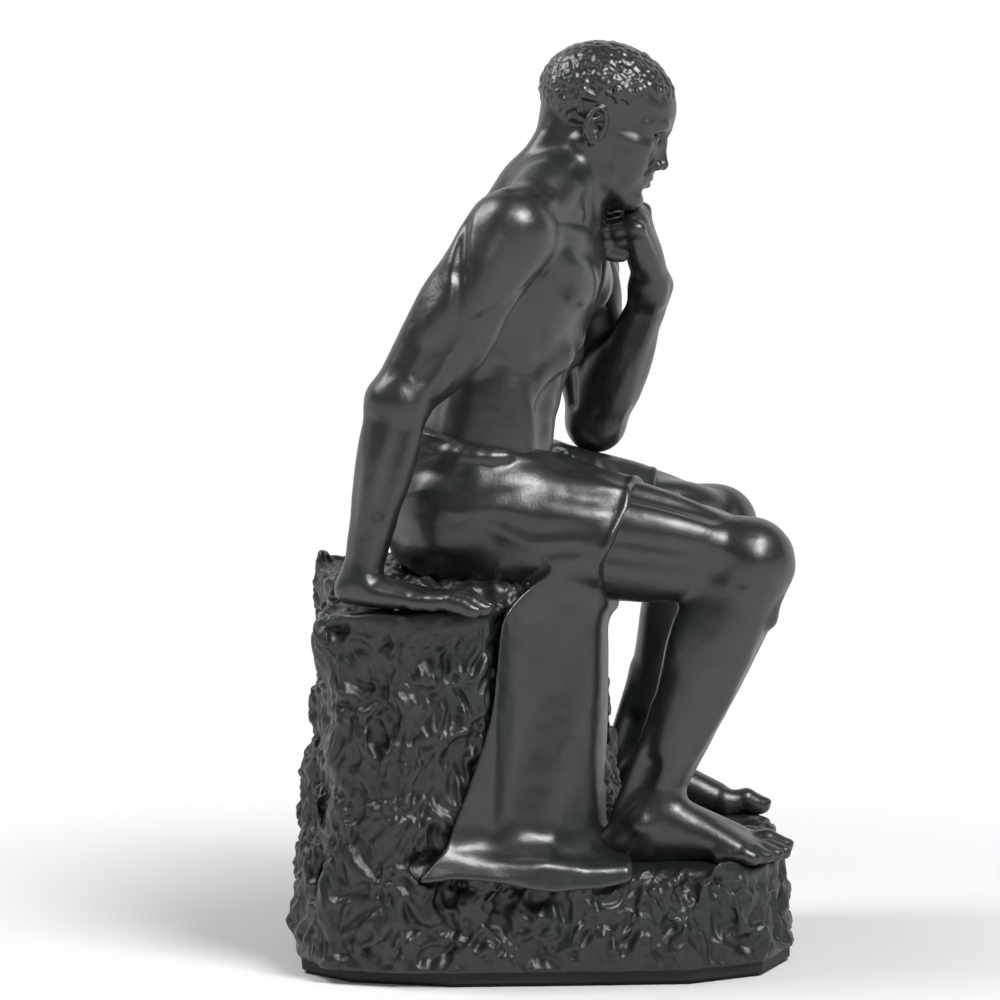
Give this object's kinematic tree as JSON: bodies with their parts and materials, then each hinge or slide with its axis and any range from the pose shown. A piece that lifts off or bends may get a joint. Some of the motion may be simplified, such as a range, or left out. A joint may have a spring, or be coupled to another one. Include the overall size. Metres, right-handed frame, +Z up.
{
  "type": "seated figure statuette",
  "caption": "Dark patinated statuette of a pensive seated figure on a rough rock, with a draped cloth and a felted base that stands on a shelf or desk.",
  "frame": {"origin": "centre of the felt's underside, where the statuette stands", "axes": "+Z up, +X where the figure faces, +Y to the figure's left"},
  "size_m": [0.1423, 0.1259, 0.2572],
  "materials": {
    "patina": "satin bronze-look patina on cast resin",
    "steel": "plain bright steel",
    "board": "black stained fibreboard",
    "felt": "black wool felt",
    "ballast": "cast plaster and sand"
  },
  "bodies": {
    "root": {"rock_seat": "patina", "lap_drape": "patina", "torso": "patina", "head": "patina", "left_arm": "patina", "right_arm": "patina", "left_leg": "patina", "right_leg": "patina", "neck_pin": "steel", "waist_pin": "steel", "left_shoulder_pin": "steel", "right_shoulder_pin": "steel", "left_thigh_pin": "steel", "right_thigh_pin": "steel", "left_foot_pin": "steel", "right_foot_pin": "steel", "right_hand_pin": "steel", "seat_bolt": "steel", "bolt_washer": "steel", "bolt_nut": "steel", "plate_screws": "steel", "base_plate": "board", "felt_pad": "felt", "ballast_block": "ballast"}
  },
  "joints": []
}
